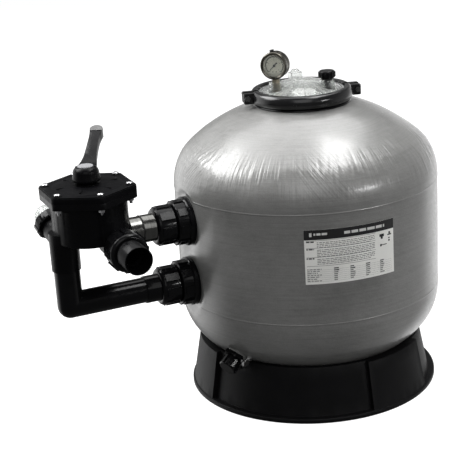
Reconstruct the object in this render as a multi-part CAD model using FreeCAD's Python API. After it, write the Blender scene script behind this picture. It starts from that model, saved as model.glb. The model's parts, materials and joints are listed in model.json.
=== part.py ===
import FreeCAD
import Part
import math
import os

os.makedirs("parts", exist_ok=True)

V = FreeCAD.Vector
UP = V(0, 0, 1)
EAST = V(1, 0, 0)
WEST = V(-1, 0, 0)
SOUTH = V(0, -1, 0)
NORTH = V(0, 1, 0)
DOWN = V(0, 0, -1)

# ---- driving dimensions, millimetres; the tank's axis is the Z axis, the floor is z = 0 ----
TANK_R = 265.0
TANK_WALL = 7.0
SEAM_LOW = 206.5          # where the bottom dome meets the cylinder
SEAM_HIGH = 434.3         # where the top dome meets the cylinder
TOP_CROWN = 353.0
TOP_KNUCKLE = 100.0
BOTTOM_CROWN = 340.0
BOTTOM_KNUCKLE = 125.0

SKIRT_TOP = 105.0
SKIRT_R_TOP = 223.0
SKIRT_R_FOOT = 241.0
SKIRT_WALL = 5.0
SKIRT_FLANGE_R = 254.7
SKIRT_FLANGE_H = 9.0
PANEL_RISE = 10.0
PANEL_SPAN = 37.0         # degrees of arc of each raised panel
PANEL_FIRST = -70.0

NECK_BORE = 72.0
NECK_TUBE = 86.0
NECK_COLLAR = 97.0
NECK_FLANGE = 94.0
NECK_TOP = 600.0
LID_TOP = 627.0
LID_WALL = 5.0
BOSS_TOP = 630.0
BOSS_RING = 58.0
GAUGE_BOSS_AT = -173.0
KNOB_BOSS_AT = -55.0
BLIND_BOSS_AT = 75.0
BOSS_BORE = 6.6

CLAMP_OUT = 102.0
CLAMP_TOP = 612.0
CLAMP_LOW = 588.0
CLAMP_SPLIT = -15.0       # direction of one ear, degrees; the other is opposite
CLAMP_GAP = 9.0
EAR_REACH = 118.0
EAR_THICK = 10.0
EAR_BOLT_AT = 111.0
BOLT_R = 3.0
BOLT_HEX = 5.8
BOLT_SPARE = 24.0         # thread beyond the nut, used when the halves are backed off

PORT_LOW = 256.0
PORT_HIGH = 381.0
PIPE_R = 25.0
PIPE_BORE = 21.0
FIT_R = 31.0              # outside of the threaded ends
TAIL_R = 27.0             # outside of the union tails, which the pipes slide into
PAD_FACE = TANK_R - 5.5    # flat seat for a lock nut, sunk in the wall
PAD_R = 50.0
FIT_END = 316.0           # where the fitting's outer end meets the union tail
NUT_R = 37.3
NUT_LUG = 2.0
LOCK_NUT_R = 43.2
LUG_WIDTH = 15.0
LUG_FIRST = -3.0
NUT_LIP_END = 333.0
NUT_START = 293.5
RUN_GAP = 0.3

VALVE_X = -456.0
POT_R = 73.0
POT_LOW = 383.0
POT_TOP = 462.0
COVER_R = 94.0
COVER_TOP = 487.0
SCREW_RING = 81.3
SIDE_PORT_X = -424.0
SIDE_NECK_END = 112.0
SIDE_TAIL_END = 175.0
SOCKET_X = -512.0
SOCKET_R = 28.0
SOCKET_LOW = 330.0
SOCKET_TOP = 405.0
SIGHT_X = -502.0
SEAT_Z = 440.0            # top of the chamber walls, where the spider gasket lies

HUB_TOP = 524.0
PIN_Z = 511.0
HANDLE_AT = 60.0          # direction the handle points in, degrees

DRAIN_AT = -156.5
DRAIN_Z = 118.0
DRAIN_TILT = 30.0         # degrees that the drain points below the horizontal

GAUGE_Z = 664.0
GAUGE_AT = -134.0         # direction the dial faces
GAUGE_R = 27.0

# label and lid seal
LABEL_FROM = -117.6
LABEL_SPAN = 38.8
LABEL_LOW = 293.5
LABEL_HIGH = 400.0
LABEL_THICK = 0.4
O_RING = 2.5
SEAL_AT = 84.0

# clamp bolts
NUT_DEEP = 5.0
EAR_BACK = CLAMP_GAP / 2 + EAR_THICK

# gauge case and dial
CASE_BACK = -12.0
CASE_FRONT = 12.0
DIAL_Z = 6.0
FILL_PLUG_AT = 102.0      # degrees round the dial from its right-hand side
ZERO_AT = 226.0           # degrees round the dial from its right-hand side

# air release knob
KNOB_R = 17.0
KNOB_LOW = BOSS_TOP + 2.5
KNOB_TOP = 648.0

# union tails
TAIL_FLANGE = 8.0
TAIL_END = 362.0          # end of the tails on the tank's unions
STUB_RING = 358.0

# pipes and laterals inside the tank
PIPE_SPLIT = -226.0       # where the inner pipes meet the bulkhead fittings
SPREAD_Z = 545.0
HUB_Z = 80.0
HUB_R = 45.0
BLEED_AT = V(0, 34, 0)

# drain
DRAIN_HOLE = 14.0
DRAIN_INNER = -26.0       # faces of the thick boss in the bottom dome, along the drain's axis
DRAIN_FACE = 6.0
DRAIN_MOUTH = 26.0
CAP_START = 15.5
CAP_END = 38.0

# inside the selector valve
VALVE = V(VALVE_X, 0, 0)
RIM = COVER_R - SCREW_RING
BODY_FLANGE = 474.0
FLOOR = POT_LOW + 5
CHAMBER_R = 67.0
STEM_R = 9.0
COVER_BORE = STEM_R + 0.06
WASTE_R = 20.0
WASTE_BORE = 16.0
WASTE_FREE = 24.0         # length of the plain spigot that a hose slides onto
O_GROOVE = 71.0
STEM_SEALS = (474.0, 483.0)
SEAL_SLIM = 1.4
ROTOR_LOW = SEAT_Z + 2.8
ROTOR_TOP = ROTOR_LOW + 9
SPRING_LOW = ROTOR_TOP + 1.5
SPRING_HIGH = BODY_FLANGE - 6 - 1.5
SPRING_R = 19.0
SPRING_WIRE = 1.2
HEAD_TOP = PIN_Z + 8
PIN_R = 3.0
PIN_GAP = 0.06

# handle
HUB_R_OUT = 27.0
HEEL_R = 17.0             # flat of the hub's underside, which rocks on the washer
HUB_LOW = 492.6
WASHER_TOP = 492.3
HANDLE_REACH = 127.0
TIP_FROM = 112.0
CAP_R = 15.0

# sight glass, on a neck that runs level and then turns up and outward
SIGHT_R = 26.0
SIGHT_BORE = 20.0
SIGHT_SEAL = 23.4
SIGHT_NUT_R = 31.0
SIGHT_BEND = V(SIGHT_X, 72, PORT_HIGH)
SIGHT_WAY = V(-0.17, 0.89, 0.42).normalize()
SIGHT_RISE = 33.0         # length of the neck beyond the bend
DOME_R = 22.5
DOME_WALL = 3.0
DOME_STRAIGHT = 20.0


def export(name, *solids):
    shape = solids[0] if len(solids) == 1 else Part.Compound(list(solids))
    shape.exportStep("parts/" + name + ".step")


def polar(radius, degrees, z=0.0):
    a = math.radians(degrees)
    return V(radius * math.cos(a), radius * math.sin(a), z)


def outline(start, steps):
    """Closed (r, h) outline; a step is an end point, or a pair (point on the arc, end point)."""
    edges = []
    here = V(start[0], 0, start[1])
    for step in list(steps) + [start]:
        if isinstance(step[0], tuple):
            mid, end = V(step[0][0], 0, step[0][1]), V(step[1][0], 0, step[1][1])
            edges.append(Part.Arc(here, mid, end).toShape())
        else:
            end = V(step[0], 0, step[1])
            if end.distanceToPoint(here) > 1e-6:
                edges.append(Part.LineSegment(here, end).toShape())
        here = end
    return Part.Face(Part.Wire(edges))


def turned(start, steps, degrees=360.0, first=0.0):
    solid = outline(start, steps).revolve(V(), UP, degrees)
    solid.rotate(V(), UP, first)
    if solid.Volume < 0:
        solid.reverse()
    return solid


def ring(r_out, r_in, low, high):
    body = Part.makeCylinder(r_out, high - low, V(0, 0, low))
    if r_in > 0:
        body = body.cut(Part.makeCylinder(r_in, high - low, V(0, 0, low)))
    return body


def aimed(shape, at, direction):
    """Carry a shape built along +Z to a point, with its +Z turned to the direction."""
    turn = FreeCAD.Rotation(UP, direction)
    copy = shape.copy()
    copy.Placement = FreeCAD.Placement(at, turn).multiply(copy.Placement)
    return copy


def swung(shape, degrees, centre=None):
    copy = shape.copy()
    copy.rotate(centre or V(), UP, degrees)
    return copy


def moved(shape, by):
    copy = shape.copy()
    copy.translate(by)
    return copy


def prism(radius, sides, low, high, turn=0.0):
    """Regular prism whose corners lie on the given radius."""
    points = [polar(radius, turn + 360.0 * k / sides, low) for k in range(sides)]
    face = Part.Face(Part.makePolygon(points + points[:1]))
    return face.extrude(V(0, 0, high - low))


def around(shape, count, first=0.0):
    return [swung(shape, first + 360.0 * k / count) for k in range(count)]


def lugs(radius, rise, width, low, high, count, first=0.0):
    bury = 1.5
    block = Part.makeBox(rise + bury, width, high - low, V(radius - bury, -width / 2, low))
    return around(block, count, first)


def torus(major, minor, z):
    return Part.makeTorus(major, minor, V(0, 0, z))


def dome(radius, seam, crown, knuckle, way, shrink=0.0):
    """Points of a dished head: (knuckle mid, crown start, crown mid, pole), offset by shrink."""
    side = radius - knuckle
    depth = math.sqrt((crown - knuckle) ** 2 - side ** 2)
    centre = seam - way * depth
    tilt = math.atan2(side, depth)
    small = knuckle - shrink
    large = crown - shrink
    half = (math.pi / 2 + tilt) / 2
    mid = (side + small * math.sin(half), seam + way * small * math.cos(half))
    join = (side + small * math.sin(tilt), seam + way * small * math.cos(tilt))
    crown_mid = (large * math.sin(tilt / 2), centre + way * large * math.cos(tilt / 2))
    pole = (0.0, centre + way * large)
    return mid, join, crown_mid, pole


def vessel(shrink):
    top = dome(TANK_R, SEAM_HIGH, TOP_CROWN, TOP_KNUCKLE, 1, shrink)
    low = dome(TANK_R, SEAM_LOW, BOTTOM_CROWN, BOTTOM_KNUCKLE, -1, shrink)
    radius = TANK_R - shrink
    steps = [(low[2], low[1]), (low[0], (radius, SEAM_LOW)), (radius, SEAM_HIGH),
             (top[0], top[1]), (top[2], top[3])]
    return turned(low[3], steps)


# ---- tank ----

def port_axes():
    return [(V(0, 0, z), WEST) for z in (PORT_LOW, PORT_HIGH)]


def tank_shell():
    shell = vessel(0)
    hollow = vessel(TANK_WALL)
    for at, way in port_axes():
        shell = shell.fuse(aimed(ring(PAD_R + 1, 0, 244, PAD_FACE), at, way))
        shell = shell.cut(aimed(ring(PAD_R, 0, PAD_FACE, TANK_R + 1), at, way))
        hollow = hollow.cut(aimed(ring(44, 0, 247, 262), at, way))
    shell = shell.cut(hollow)
    for at, way in port_axes():
        shell = shell.cut(aimed(ring(FIT_R, 0, 230, 280), at, way))
    shell = shell.cut(ring(NECK_TUBE + 2, 0, 560, 640))
    shell = shell.fuse(drain_piece(ring(21, 0, DRAIN_INNER, DRAIN_FACE)))
    return shell.cut(drain_piece(ring(DRAIN_HOLE, 0, -60, 40))).removeSplitter()


def base_skirt():
    def cone(grow, low, high):
        slope = (SKIRT_R_TOP - SKIRT_R_FOOT) / (SKIRT_TOP - SKIRT_FLANGE_H)
        r_low = SKIRT_R_FOOT + grow + slope * (low - SKIRT_FLANGE_H)
        r_high = SKIRT_R_FOOT + grow + slope * (high - SKIRT_FLANGE_H)
        return [(0, low), (r_low, low), (r_high, high), (0, high)]

    def solid_cone(grow, low, high, degrees=360.0, first=0.0):
        points = cone(grow, low, high)
        return turned(points[0], points[1:], degrees, first)

    body = solid_cone(0, 0, SKIRT_TOP)
    inside = solid_cone(-SKIRT_WALL, -1, SKIRT_TOP - 8)
    for k in range(3):
        first = PANEL_FIRST - PANEL_SPAN / 2 + 120 * k
        body = body.fuse(solid_cone(PANEL_RISE, 0, SKIRT_TOP, PANEL_SPAN, first))
        inset = math.degrees(SKIRT_WALL / SKIRT_R_TOP)
        inside = inside.fuse(solid_cone(PANEL_RISE - SKIRT_WALL, -1, SKIRT_TOP - 8,
                                        PANEL_SPAN - 2 * inset, first + inset))
    body = body.fuse(turned((200, 0), [(SKIRT_FLANGE_R, 0), (SKIRT_FLANGE_R, SKIRT_FLANGE_H - 2),
                                       (SKIRT_FLANGE_R - 2, SKIRT_FLANGE_H), (200, SKIRT_FLANGE_H)]))
    body = body.cut(inside).cut(vessel(0))
    notch = ring(30, 0, -40, 60)
    return body.cut(drain_piece(notch)).removeSplitter()


def label():
    r_in, r_out = TANK_R, TANK_R + LABEL_THICK
    steps = [(r_out, LABEL_LOW), (r_out, LABEL_HIGH), (r_in, LABEL_HIGH)]
    return turned((r_in, LABEL_LOW), steps, LABEL_SPAN, LABEL_FROM)


def neck_flange():
    low = 566.0
    top = NECK_TOP
    body = turned((NECK_BORE, low),
                  [(NECK_TUBE + 2, low), (NECK_TUBE + 2, 574), (NECK_COLLAR, 574), (NECK_COLLAR, 584),
                   (NECK_COLLAR - 2, 586.5), (NECK_TUBE, 586.5), (NECK_TUBE, top - 6),
                   (NECK_FLANGE, top - 4), (NECK_FLANGE, top), (SEAL_AT + 3, top),
                   (SEAL_AT + 3, top - 2 * O_RING), (SEAL_AT - 3, top - 2 * O_RING),
                   (SEAL_AT - 3, top), (NECK_BORE, top)])
    outer = vessel(0).cut(ring(NECK_TUBE + 2, 0, 560, 640))
    return body.cut(outer)


def lid_o_ring():
    return torus(SEAL_AT, O_RING, NECK_TOP - O_RING)


def lid_surface(radius):
    """Height of the lid's outer dome at a distance from the axis."""
    sphere = (80.0 ** 2 + (LID_TOP - 608) ** 2) / (2 * (LID_TOP - 608))
    return LID_TOP - sphere + math.sqrt(sphere ** 2 - radius ** 2)


def lid():
    edge = 608.0
    skin = turned((0, LID_TOP - LID_WALL),
                  [((45, lid_surface(45) - LID_WALL - 0.4), (76, edge - LID_WALL)), (70, NECK_TOP),
                   (70, NECK_TOP - 6), (NECK_BORE - 0.5, NECK_TOP - 6), (NECK_BORE - 0.5, NECK_TOP),
                   (NECK_FLANGE, NECK_TOP), (NECK_FLANGE, NECK_TOP + 4), (NECK_TUBE, NECK_TOP + 6),
                   (84, edge), (80, edge), ((45, lid_surface(45)), (0, LID_TOP))])
    rib = Part.makeBox(62, 2.4, 16, V(16, -1.2, 601))
    under = turned((0, 590), [(78, 590), (78, edge - 1), ((45, lid_surface(45) - 1), (0, LID_TOP - 1))])
    ribs = [piece.common(under) for piece in around(rib, 12, 10.0)]
    return skin.multiFuse(bosses() + ribs).cut(boss_bores())


def bosses():
    low = 606.0
    shapes = []
    for at in (GAUGE_BOSS_AT, KNOB_BOSS_AT, BLIND_BOSS_AT):
        foot = ring(15.5, 0, low, 619)
        top = prism(14.5, 6, low, BOSS_TOP, at + 12)
        shapes.append(moved(foot.fuse(top), polar(BOSS_RING, at)))
    nose = turned((0, BOSS_TOP - 1), [(9, BOSS_TOP - 1), (9, BOSS_TOP + 3), (6, BOSS_TOP + 6),
                                      (0, BOSS_TOP + 6)])
    shapes.append(moved(nose, polar(BOSS_RING, BLIND_BOSS_AT)))
    return shapes


def boss_bores():
    bores = [moved(ring(BOSS_BORE, 0, 590, 640), polar(BOSS_RING, at))
             for at in (GAUGE_BOSS_AT, KNOB_BOSS_AT)]
    return bores[0].fuse(bores[1])


# ---- clamp ----

def clamp_ring():
    top, low = CLAMP_TOP, CLAMP_LOW
    grip_low, grip_high = NECK_TOP - 6.4, NECK_TOP + 6.4
    return turned((88, low), [(98, low), ((CLAMP_OUT, 600), (98.5, top - 3)),
                              ((96.2, top - 0.8), (91, top)), (86.5, top), (86.5, grip_high + 0.6),
                              (NECK_FLANGE + 0.6, grip_high - 2), (NECK_FLANGE + 0.6, grip_low + 2),
                              (88, grip_low - 0.6)])


def clamp_half(way):
    """Half ring with an ear at each end; way is +1 for the rear half, -1 for the front half."""
    keep = Part.makeBox(400, 200, 60, V(-200, CLAMP_GAP / 2 if way > 0 else -200 - CLAMP_GAP / 2, 570))
    half = clamp_ring().common(keep)
    for side in (1, -1):
        y_low = CLAMP_GAP / 2 if way > 0 else -CLAMP_GAP / 2 - EAR_THICK
        x_low = 96.0 if side > 0 else -EAR_REACH
        ear = Part.makeBox(EAR_REACH - 96, EAR_THICK, 21, V(x_low, y_low, CLAMP_LOW + 1))
        rim = [e for e in ear.Edges if abs(abs(e.CenterOfMass.x) - EAR_REACH) < 1e-6]
        ear = ear.makeFillet(3, rim)
        ear = ear.cut(ring(CLAMP_OUT - 6, 0, 570, 620))
        half = half.fuse(ear)
    for side in (1, -1):
        hole = aimed(ring(BOLT_R + 0.3, 0, -30, 30), V(side * EAR_BOLT_AT, 0, NECK_TOP), NORTH)
        half = half.cut(hole)
    return swung(half, CLAMP_SPLIT)


def clamp_bolts():
    shank = ring(BOLT_R, 0, -EAR_BACK, EAR_BACK + NUT_DEEP + BOLT_SPARE)
    bolt = prism(BOLT_HEX, 6, -EAR_BACK - 4, -EAR_BACK).fuse(shank)
    return [swung(aimed(bolt, V(side * EAR_BOLT_AT, 0, NECK_TOP), NORTH), CLAMP_SPLIT)
            for side in (1, -1)]


def clamp_nuts():
    nut = prism(BOLT_HEX, 6, EAR_BACK, EAR_BACK + NUT_DEEP).cut(ring(BOLT_R + 0.05, 0, 0, 60))
    return [swung(aimed(nut, V(side * EAR_BOLT_AT, 0, NECK_TOP), NORTH), CLAMP_SPLIT)
            for side in (1, -1)]


# ---- gauge ----

def gauge_axis():
    return polar(BOSS_RING, GAUGE_BOSS_AT)


def gauge_piece(shape):
    """Place a shape built about the dial's axis, +Z outward, in front of the gauge's stem."""
    face = polar(1, GAUGE_AT)
    turn = FreeCAD.Rotation(V(0, 0, 1).cross(face), UP, face, "ZYX")
    copy = shape.copy()
    at = gauge_axis() + V(0, 0, GAUGE_Z)
    copy.Placement = FreeCAD.Placement(at, turn).multiply(copy.Placement)
    return copy


def gauge_case():
    cup = turned((0, CASE_BACK), [(GAUGE_R - 3, CASE_BACK), ((GAUGE_R - 1, CASE_BACK + 1),
                                                             (GAUGE_R - 0.5, CASE_BACK + 3)),
                                  (GAUGE_R - 0.5, CASE_FRONT - 3), (GAUGE_R - 2.5, CASE_FRONT - 3),
                                  (GAUGE_R - 2.5, CASE_BACK + 2), (0, CASE_BACK + 2)])
    plug_hole = swung_about_dial(ring(3, 0, GAUGE_R - 6, GAUGE_R + 6), FILL_PLUG_AT)
    stem_hole = swung_about_dial(ring(5, 0, GAUGE_R - 8, GAUGE_R + 6), -90)
    return gauge_piece(cup.cut(plug_hole).cut(stem_hole))


def swung_about_dial(shape, degrees):
    """Turn a shape built along +Z so that it points out of the case's side at that angle."""
    return aimed(shape, V(), polar(1, degrees))


def gauge_bezel():
    front = CASE_FRONT
    hoop = turned((GAUGE_R - 0.5, front - 8), [(GAUGE_R, front - 8), (GAUGE_R, front - 1),
                                             ((GAUGE_R - 1, front + 0.8), (GAUGE_R - 3, front + 1.5)),
                                             (GAUGE_R - 5.5, front), (GAUGE_R - 5.5, front - 1),
                                             (GAUGE_R - 0.5, front - 1)])
    return gauge_piece(hoop)


def gauge_lens():
    return gauge_piece(ring(GAUGE_R - 0.5, 0, CASE_FRONT - 3, CASE_FRONT - 1))


def gauge_dial():
    return gauge_piece(ring(GAUGE_R - 2.5, 1.6, DIAL_Z - 1, DIAL_Z))


def gauge_pointer():
    """At rest the pointer's tip is at the zero, lower left; it hangs on a short spindle."""
    low = DIAL_Z + 0.6
    tip, tail = 17.0, 8.0
    points = [V(tip, 0, low), V(3, 0.9, low), V(-3, 0.9, low), V(-tail, 1.9, low),
              V(-tail, -1.9, low), V(-3, -0.9, low), V(3, -0.9, low)]
    needle = Part.Face(Part.makePolygon(points + points[:1])).extrude(V(0, 0, 0.6))
    hub = ring(2.6, 0, low, low + 1.1)
    spindle = ring(1.5, 0, DIAL_Z - 5, low)
    return gauge_piece(swung(needle.fuse(hub).fuse(spindle), ZERO_AT))


def gauge_stem():
    base = BOSS_TOP
    stem = ring(BOSS_BORE, 0, base - 18, base).fuse(prism(8.2, 6, base, base + 7))
    stem = stem.fuse(ring(5, 0, base + 7, GAUGE_Z - GAUGE_R + 8))
    body = moved(stem, gauge_axis())
    outside = gauge_piece(ring(GAUGE_R - 2.5, 0, CASE_BACK + 2, CASE_FRONT - 3))
    rim = gauge_piece(ring(GAUGE_R, GAUGE_R - 0.6, CASE_FRONT - 9, CASE_FRONT + 2))
    return body.cut(outside).cut(rim)


def gauge_fill_plug():
    plug = ring(2.9, 0, GAUGE_R - 2.4, GAUGE_R + 1.5).fuse(ring(4.2, 0, GAUGE_R - 0.3, GAUGE_R + 3.5))
    return gauge_piece(swung_about_dial(plug, FILL_PLUG_AT))


# ---- air release ----


def air_release_knob():
    body = turned((0, KNOB_LOW), [(KNOB_R - 4, KNOB_LOW), (KNOB_R - 1.5, KNOB_LOW + 3),
                                  (KNOB_R - 1.5, KNOB_TOP - 3), ((KNOB_R - 2.4, KNOB_TOP - 0.9),
                                                               (KNOB_R - 4.5, KNOB_TOP)),
                                  (0, KNOB_TOP)])
    grips = [ring(1.7, 0, KNOB_LOW + 3, KNOB_TOP - 2.5)]
    ribs = [swung(moved(grips[0], V(KNOB_R - 1.7, 0, 0)), 360.0 * k / 14) for k in range(14)]
    stem = ring(BOSS_BORE - 0.05, 0, BOSS_TOP - 22, KNOB_LOW)
    return moved(body.multiFuse(ribs + [stem]), polar(BOSS_RING, KNOB_BOSS_AT))


def air_release_seal():
    washer = ring(10.5, BOSS_BORE, BOSS_TOP, KNOB_LOW - 0.05)
    return moved(washer, polar(BOSS_RING, KNOB_BOSS_AT))


# ---- tank ports: fittings and unions ----

def fitting():
    inner = 244.0
    body = turned((PIPE_BORE, 205), [(FIT_R, 205), (FIT_R, inner - 8), (42, inner - 8), (42, inner - 3),
                                     (FIT_R, inner - 3), (FIT_R, FIT_END), (PIPE_BORE, FIT_END)])
    socket = ring(PIPE_R, 0, 200, 226)
    return body.cut(socket)


def gasket():
    return ring(42, FIT_R, 241, 244)


def lock_nut():
    body = turned((FIT_R, PAD_FACE), [(48.5, PAD_FACE), (48.5, 268), (46, 271), (LOCK_NUT_R, 271),
                                      (LOCK_NUT_R, NUT_START - 2.5), (LOCK_NUT_R - 1.5, NUT_START - 1),
                                      (FIT_R, NUT_START - 1)])
    body = body.multiFuse(lugs(LOCK_NUT_R, NUT_LUG, LUG_WIDTH, 270, NUT_START - 4, 8, LUG_FIRST))
    return body.cut(ring(FIT_R, 0, 250, 300))


def union_nut():
    """Built along +Z with its mating plane at z = 0 and its open lip towards +Z."""
    start, end = NUT_START - FIT_END, NUT_LIP_END - FIT_END
    step = TAIL_FLANGE + RUN_GAP
    body = turned((FIT_R + RUN_GAP, start),
                  [(NUT_R - 1.5, start), (NUT_R, start + 2), (NUT_R, end - 7),
                   ((NUT_R - 2, end - 2.6), (NUT_R - 6, end)), (TAIL_R + RUN_GAP, end),
                   (TAIL_R + RUN_GAP, step), (FIT_R + RUN_GAP, step)])
    body = body.multiFuse(lugs(NUT_R, NUT_LUG, LUG_WIDTH, start + 3, end - 8, 8, LUG_FIRST))
    return body.cut(ring(FIT_R + RUN_GAP, 0, start - 1, step))


def union_tail(length):
    """Flange against the mating plane, with its seal groove, and a socket for a pipe."""
    flange = TAIL_FLANGE
    stop = 14.0
    return turned((PIPE_BORE, 0), [(24.4, 0), (24.4, 2.6), (28.2, 2.6), (28.2, 0), (FIT_R - 0.5, 0),
                                   (FIT_R - 0.5, flange), (TAIL_R, flange), (TAIL_R, length - 1),
                                   (TAIL_R - 0.7, length), (PIPE_R, length), (PIPE_R, stop),
                                   (PIPE_BORE, stop)])


def union_seal():
    return torus(26.3, 1.3, 1.3)


def tank_unions():
    return [(V(-FIT_END, 0, z), WEST) for z in (PORT_HIGH, PORT_LOW)]


def valve_unions():
    return [(V(SIDE_PORT_X, way.y * SIDE_NECK_END, PORT_HIGH), way) for way in (SOUTH, NORTH)]


def upper_stub_pipe():
    start, end = -(STUB_RING + 2), -398.0
    pipe = Part.makeCylinder(PIPE_R + 1.5, start - end, V(start, 0, PORT_HIGH), WEST)
    bore = Part.makeCylinder(PIPE_BORE, start - end, V(start, 0, PORT_HIGH), WEST)
    return pipe.cut(bore)


def stub_joint_ring():
    hoop = ring(TAIL_R + 0.6, PIPE_R, 0, 2)
    return aimed(hoop, V(-STUB_RING, 0, PORT_HIGH), WEST)


def bent_pipe(corner, start, top, radius, bore):
    """Horizontal run along X into a rounded corner, then a vertical run."""
    way = EAST if start.x > corner.x else WEST
    lift = UP if top > corner.z else DOWN
    reach, rise = abs(start.x - corner.x), abs(top - corner.z)
    shapes = []
    for r, extra in ((radius, 0), (bore, 1)):
        level = Part.makeCylinder(r, reach + extra, corner, way)
        upright = Part.makeCylinder(r, rise + extra, corner, lift)
        shapes.append(level.multiFuse([upright, Part.makeSphere(r, corner)]))
    return shapes[0].cut(shapes[1])


def lower_elbow_pipe():
    start = V(-(FIT_END + 14), 0, PORT_LOW)
    return bent_pipe(V(SOCKET_X, 0, PORT_LOW), start, SOCKET_LOW + 42, PIPE_R, PIPE_BORE)


# ---- inside the tank ----


def inlet_pipe():
    start = V(PIPE_SPLIT, 0, PORT_HIGH)
    return bent_pipe(V(0, 0, PORT_HIGH), start, SPREAD_Z, PIPE_R, PIPE_BORE)


def outlet_pipe():
    start = V(PIPE_SPLIT, 0, PORT_LOW)
    return bent_pipe(V(0, 0, PORT_LOW), start, HUB_Z + 10, PIPE_R, PIPE_BORE)


def diffuser():
    """Shallow funnel on the inlet pipe with a splash plate held up on four posts."""
    low = SPREAD_Z - 20
    cup = turned((PIPE_R, low), [(PIPE_R + 4, low), (PIPE_R + 4, SPREAD_Z), (62, SPREAD_Z + 14),
                                 (60, SPREAD_Z + 17), (PIPE_R, SPREAD_Z + 3)])
    plate = ring(60, 0, SPREAD_Z + 27, SPREAD_Z + 31)
    post = moved(ring(3.5, 0, SPREAD_Z + 10, SPREAD_Z + 28), V(50, 0, 0))
    return cup.multiFuse([plate] + around(post, 4, 45.0))


def lateral_hub():
    hub = ring(HUB_R, 0, HUB_Z - 22, HUB_Z + 22)
    well = ring(PIPE_BORE, 0, HUB_Z - 16, HUB_Z + 30).fuse(ring(PIPE_R, 0, HUB_Z + 10, HUB_Z + 30))
    ways = around(aimed(ring(9, 0, 5, HUB_R + 5), V(0, 0, HUB_Z), EAST), 8)
    bleed = moved(ring(3.5, 0, HUB_Z, HUB_Z + 30), BLEED_AT)
    return hub.cut(well.multiFuse(ways + [bleed]))


def laterals():
    arm = ring(9, 6.5, HUB_R - 12, 136).fuse(ring(9, 0, 136, 139))
    slits = [Part.makeBox(20, 30, 1.2, V(2, -15, 58 + 11 * k)) for k in range(7)]
    arm = aimed(arm.cut(Part.Compound(slits)), V(0, 0, HUB_Z), EAST)
    return around(arm, 8)


def air_bleed_tube():
    tube = ring(3.5, 2.2, HUB_Z + 10, SPREAD_Z - 24).fuse(ring(6, 2.2, SPREAD_Z - 40, SPREAD_Z - 24))
    return moved(tube, BLEED_AT)


# ---- drain ----


def drain_piece(shape):
    """Place a shape built along +Z, z = 0 on the dome's surface, on the drain's sloping axis."""
    knuckle_z = SEAM_LOW - DRAIN_Z
    surface = TANK_R - BOTTOM_KNUCKLE + math.sqrt(BOTTOM_KNUCKLE ** 2 - knuckle_z ** 2)
    tilt = math.radians(DRAIN_TILT)
    way = polar(math.cos(tilt), DRAIN_AT, -math.sin(tilt))
    return aimed(shape, polar(surface, DRAIN_AT, DRAIN_Z), way)


def drain_fitting():
    inner = DRAIN_INNER
    body = turned((10, inner - 6), [(17, inner - 6), (17, inner), (DRAIN_HOLE, inner),
                                    (DRAIN_HOLE, DRAIN_FACE), (19, DRAIN_FACE), (19, CAP_START - 1),
                                    (DRAIN_HOLE, CAP_START - 1), (DRAIN_HOLE, DRAIN_MOUTH),
                                    (10, DRAIN_MOUTH)])
    flats = prism(26, 4, DRAIN_FACE, CAP_START - 1, 45.0).cut(ring(12, 0, 0, 30))
    return drain_piece(body.fuse(flats))


def drain_gasket():
    return drain_piece(ring(16, 8, DRAIN_MOUTH + 0.1, DRAIN_MOUTH + 2.6))


def drain_cap():
    bore = DRAIN_HOLE + 0.06
    roof = DRAIN_MOUTH + 2.65
    body = turned((bore, CAP_START), [(18, CAP_START), (18, CAP_END - 2), (16.5, CAP_END), (0, CAP_END),
                                      (0, roof), (16.4, roof), (16.4, DRAIN_MOUTH - 0.5),
                                      (bore, DRAIN_MOUTH - 1.5)])
    return drain_piece(body.multiFuse(lugs(18, 1.6, 5, CAP_START + 2, CAP_END - 3, 10)))


# ---- selector valve ----


def screw_points():
    return [polar(SCREW_RING, 30 + 60 * k) for k in range(6)]


def rounded_hexagon(low, high, shrink=0.0):
    points = [point + V(0, 0, low) for point in screw_points()]
    face = Part.Face(Part.makePolygon(points + points[:1]))
    grown = face.makeOffset2D(RIM - shrink)
    return grown.extrude(V(0, 0, high - low))


def elbow_neck(radius, start, bend):
    """Level run from y = start to the bend, a ball there, and the rising run to the sight glass."""
    level = Part.makeCylinder(radius, bend.y - start, V(bend.x, start, bend.z), NORTH)
    rising = Part.makeCylinder(radius, SIGHT_RISE, bend, SIGHT_WAY)
    return level.multiFuse([Part.makeSphere(radius, bend), rising])


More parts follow.
